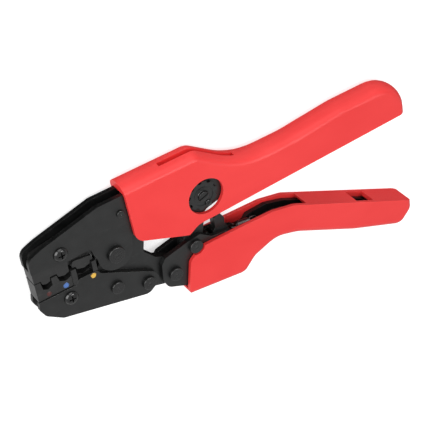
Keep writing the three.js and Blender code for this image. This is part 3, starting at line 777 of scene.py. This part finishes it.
def lock_screw(material):
    node = "wheel_lock_screw"
    x, y, head, low, high = axis_of(node)
    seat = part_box("adjusting_wheel")[1].z + SEAT
    profile = rounded([
        (0, low, 0), (MM, low, 0), (MM, seat, 0), (head, seat, 0), (head, high - 0.2 * MM, 0.3 * MM),
        (head * 0.5, high, MM), (0, high, 0),
    ], closed=False)
    piece = lathe("wheel_lock_screw_turned", profile, 48)
    slotted(piece, 1.3 * MM, 0.22 * MM, high - 0.4 * MM, high + MM, 0.9)
    piece.location = (x, y, 0)
    stand_for(piece, node, material)


# ---- springs ----
RETURN_COIL = 1.9 * MM
RETURN_WIRE = 0.42 * MM
RETURN_TURNS = 30
RETURN_EAR = Vector((-0.9, -13, 0)) * MM        # hole in the link's ear, from the link pivot
PAWL_COIL = 1.6 * MM
PAWL_WIRE = 0.27 * MM
PAWL_TURNS = 11
PAWL_HOLE = Vector((4.6, -0.7, 0)) * MM         # hole in the pawl's arm, from the pawl pivot
HOOK_STEPS = 16
COIL_STEPS = 20
GIVE_START = 18 * MM          # from the ear, two points along the spring, handed on with the ear's body
GIVE_END = 4.6 * MM


def extension_spring(node, coil, wire, turns, ear, pin, material, ear_body=None):
    """Close helix with an upright hook through a flat ear and a flat loop round an upright pin. If
    the ear is on another body, the spring rides on no body, with its transform baked in."""
    pin_x, pin_y, pin_radius, _, _ = axis_of(pin)
    start = Vector((ear.x, ear.y, mid_z))
    span = Vector((pin_x, pin_y, mid_z)) - start
    along = span.normalized()
    across = Vector((-along.y, along.x, 0))
    up = Vector((0, 0, 1))
    loop = pin_radius + wire + 0.08 * MM
    hook_centre = coil + 0.6 * MM
    first = hook_centre + coil + MM
    last = span.length - loop - MM
    path = []
    for step in range(HOOK_STEPS):
        angle = -math.pi / 6 - math.pi * 4 / 3 * step / HOOK_STEPS
        at = hook_centre + coil * math.cos(angle)
        path.append(start + along * at + up * coil * math.sin(angle))
    path.append(start + along * hook_centre + up * coil)
    steps = int((turns + 0.25) * COIL_STEPS)
    for step in range(steps + 1):
        angle = 2 * math.pi * step / COIL_STEPS
        at = first + (last - first) * step / steps
        round_wire = up * coil * math.cos(angle) + across * coil * math.sin(angle)
        path.append(start + along * at + round_wire)
    for step in range(HOOK_STEPS + 1):
        angle = math.pi / 2 - math.pi * 1.3 * step / HOOK_STEPS
        at = span.length + loop * math.cos(angle)
        path.append(start + along * at + across * loop * math.sin(angle))
    piece = sweep(node + "_wire", path, wire)
    bends = None
    if ear_body:
        bends = (ear_body, start + along * GIVE_START, start + along * GIVE_END)
    stand_for(piece, node, material, bends)


# ---- paint marks ----
def paint_dab(node, material):
    """Low dome of enamel with a slightly uneven rim."""
    x, y, radius, low, high = axis_of(node)
    shape = bmesh.new()
    rings = 8
    sides = 48
    top = shape.verts.new((0, 0, high))
    under = shape.verts.new((0, 0, low))
    loops = []
    for ring in range(1, rings + 1):
        share = ring / rings
        loop = []
        for side in range(sides):
            angle = 2 * math.pi * side / sides
            uneven = 1 + 0.05 * math.sin(3 * angle + x / MM) + 0.03 * math.sin(5 * angle + y / MM)
            reach = radius * share * (uneven / 1.08)
            level = low + (high - low) * math.sqrt(max(0.0, 1 - share ** 4))
            loop.append(shape.verts.new((reach * math.cos(angle), reach * math.sin(angle), level)))
        loops.append(loop)
    for side in range(sides):
        after = (side + 1) % sides
        shape.faces.new((top, loops[0][side], loops[0][after]))
        shape.faces.new((under, loops[-1][after], loops[-1][side]))
        for inner, outer in zip(loops, loops[1:]):
            shape.faces.new((inner[side], outer[side], outer[after], inner[after]))
    piece = new_piece(node + "_dab", shape)
    piece.location = (x, y, 0)
    stand_for(piece, node, material)


# ---- putting it together ----
def finish_packed(nodes, material, width, group):
    """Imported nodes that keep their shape: eased edges and a finished material."""
    for name in nodes:
        obj = frame["nodes"][name]
        obj.data.materials.clear()
        obj.data.materials.append(material)
        ease_edges(obj, width, group)


bpy.context.scene.view_settings.view_transform = "Standard"
aim = make_camera()
make_world()
make_floor()
for name, direction, distance, side, watts in SOFTBOXES:
    soft_light(name, aim, direction, distance, side, watts)

group = smoothing_group()
plate_steel = oxide_steel(
    "black_steel", (0.002, 0.0023, 0.0023), (0.005, 0.0054, 0.0054), (0.04, 0.04, 0.04), 0.38,
)
machined = oxide_steel(
    "die_steel", (0.006, 0.006, 0.006), (0.011, 0.011, 0.011), (0.08, 0.08, 0.08), 0.33, 0.1, (0.1, 1, 1),
)
pin_finish = turned_steel("pin_steel", (0.0025, 0.0025, 0.0025), (0.006, 0.006, 0.006), 0.26)
screw_finish = turned_steel("screw_steel", (0.0015, 0.0015, 0.0015), (0.004, 0.004, 0.004), 0.18)
wire_finish = spring_steel()

finish_packed(["upper_grip", "lower_grip"], red_plastic(), GRIP_EASE, group)
finish_packed([
    "frame_plate_front", "frame_plate_rear", "jaw_plate", "jaw_cheek_front", "jaw_cheek_rear",
    "handle_plate_front", "handle_plate_rear", "toggle_link", "ratchet_pawl",
], plate_steel, PLATE_EASE, group)
finish_packed(["upper_die", "lower_die"], machined, DIE_EASE, group)

for node, shank in RIVET_SHANKS.items():
    rivet(node, shank, pin_finish)
for node in DIE_SCREWS:
    cross_screw(node, screw_finish)
for node in DOWELS:
    dowel(node, pin_finish)
for node, bore in SLEEVE_BORES.items():
    sleeve(node, bore, pin_finish)
adjusting_wheel(plate_steel)
eccentric_pin(pin_finish)
lock_screw(screw_finish)

extension_spring(
    "return_spring", RETURN_COIL, RETURN_WIRE, RETURN_TURNS,
    joint_at["link_pivot"] + RETURN_EAR, "return_spring_pin", wire_finish, "link",
)
extension_spring(
    "pawl_spring", PAWL_COIL, PAWL_WIRE, PAWL_TURNS,
    joint_at["pawl_pivot"] + PAWL_HOLE, "pawl_spring_pin", wire_finish,
)

paint_dab("nest_mark_small", paint("mark_red", (0.06, 0.012, 0.011), (0.018, 0.008, 0.008)))
paint_dab("nest_mark_medium", paint("mark_blue", (0.065, 0.15, 0.40), (0.03, 0.06, 0.16)))
paint_dab("nest_mark_large", paint("mark_yellow", (0.66, 0.40, 0.06), (0.38, 0.20, 0.03)))
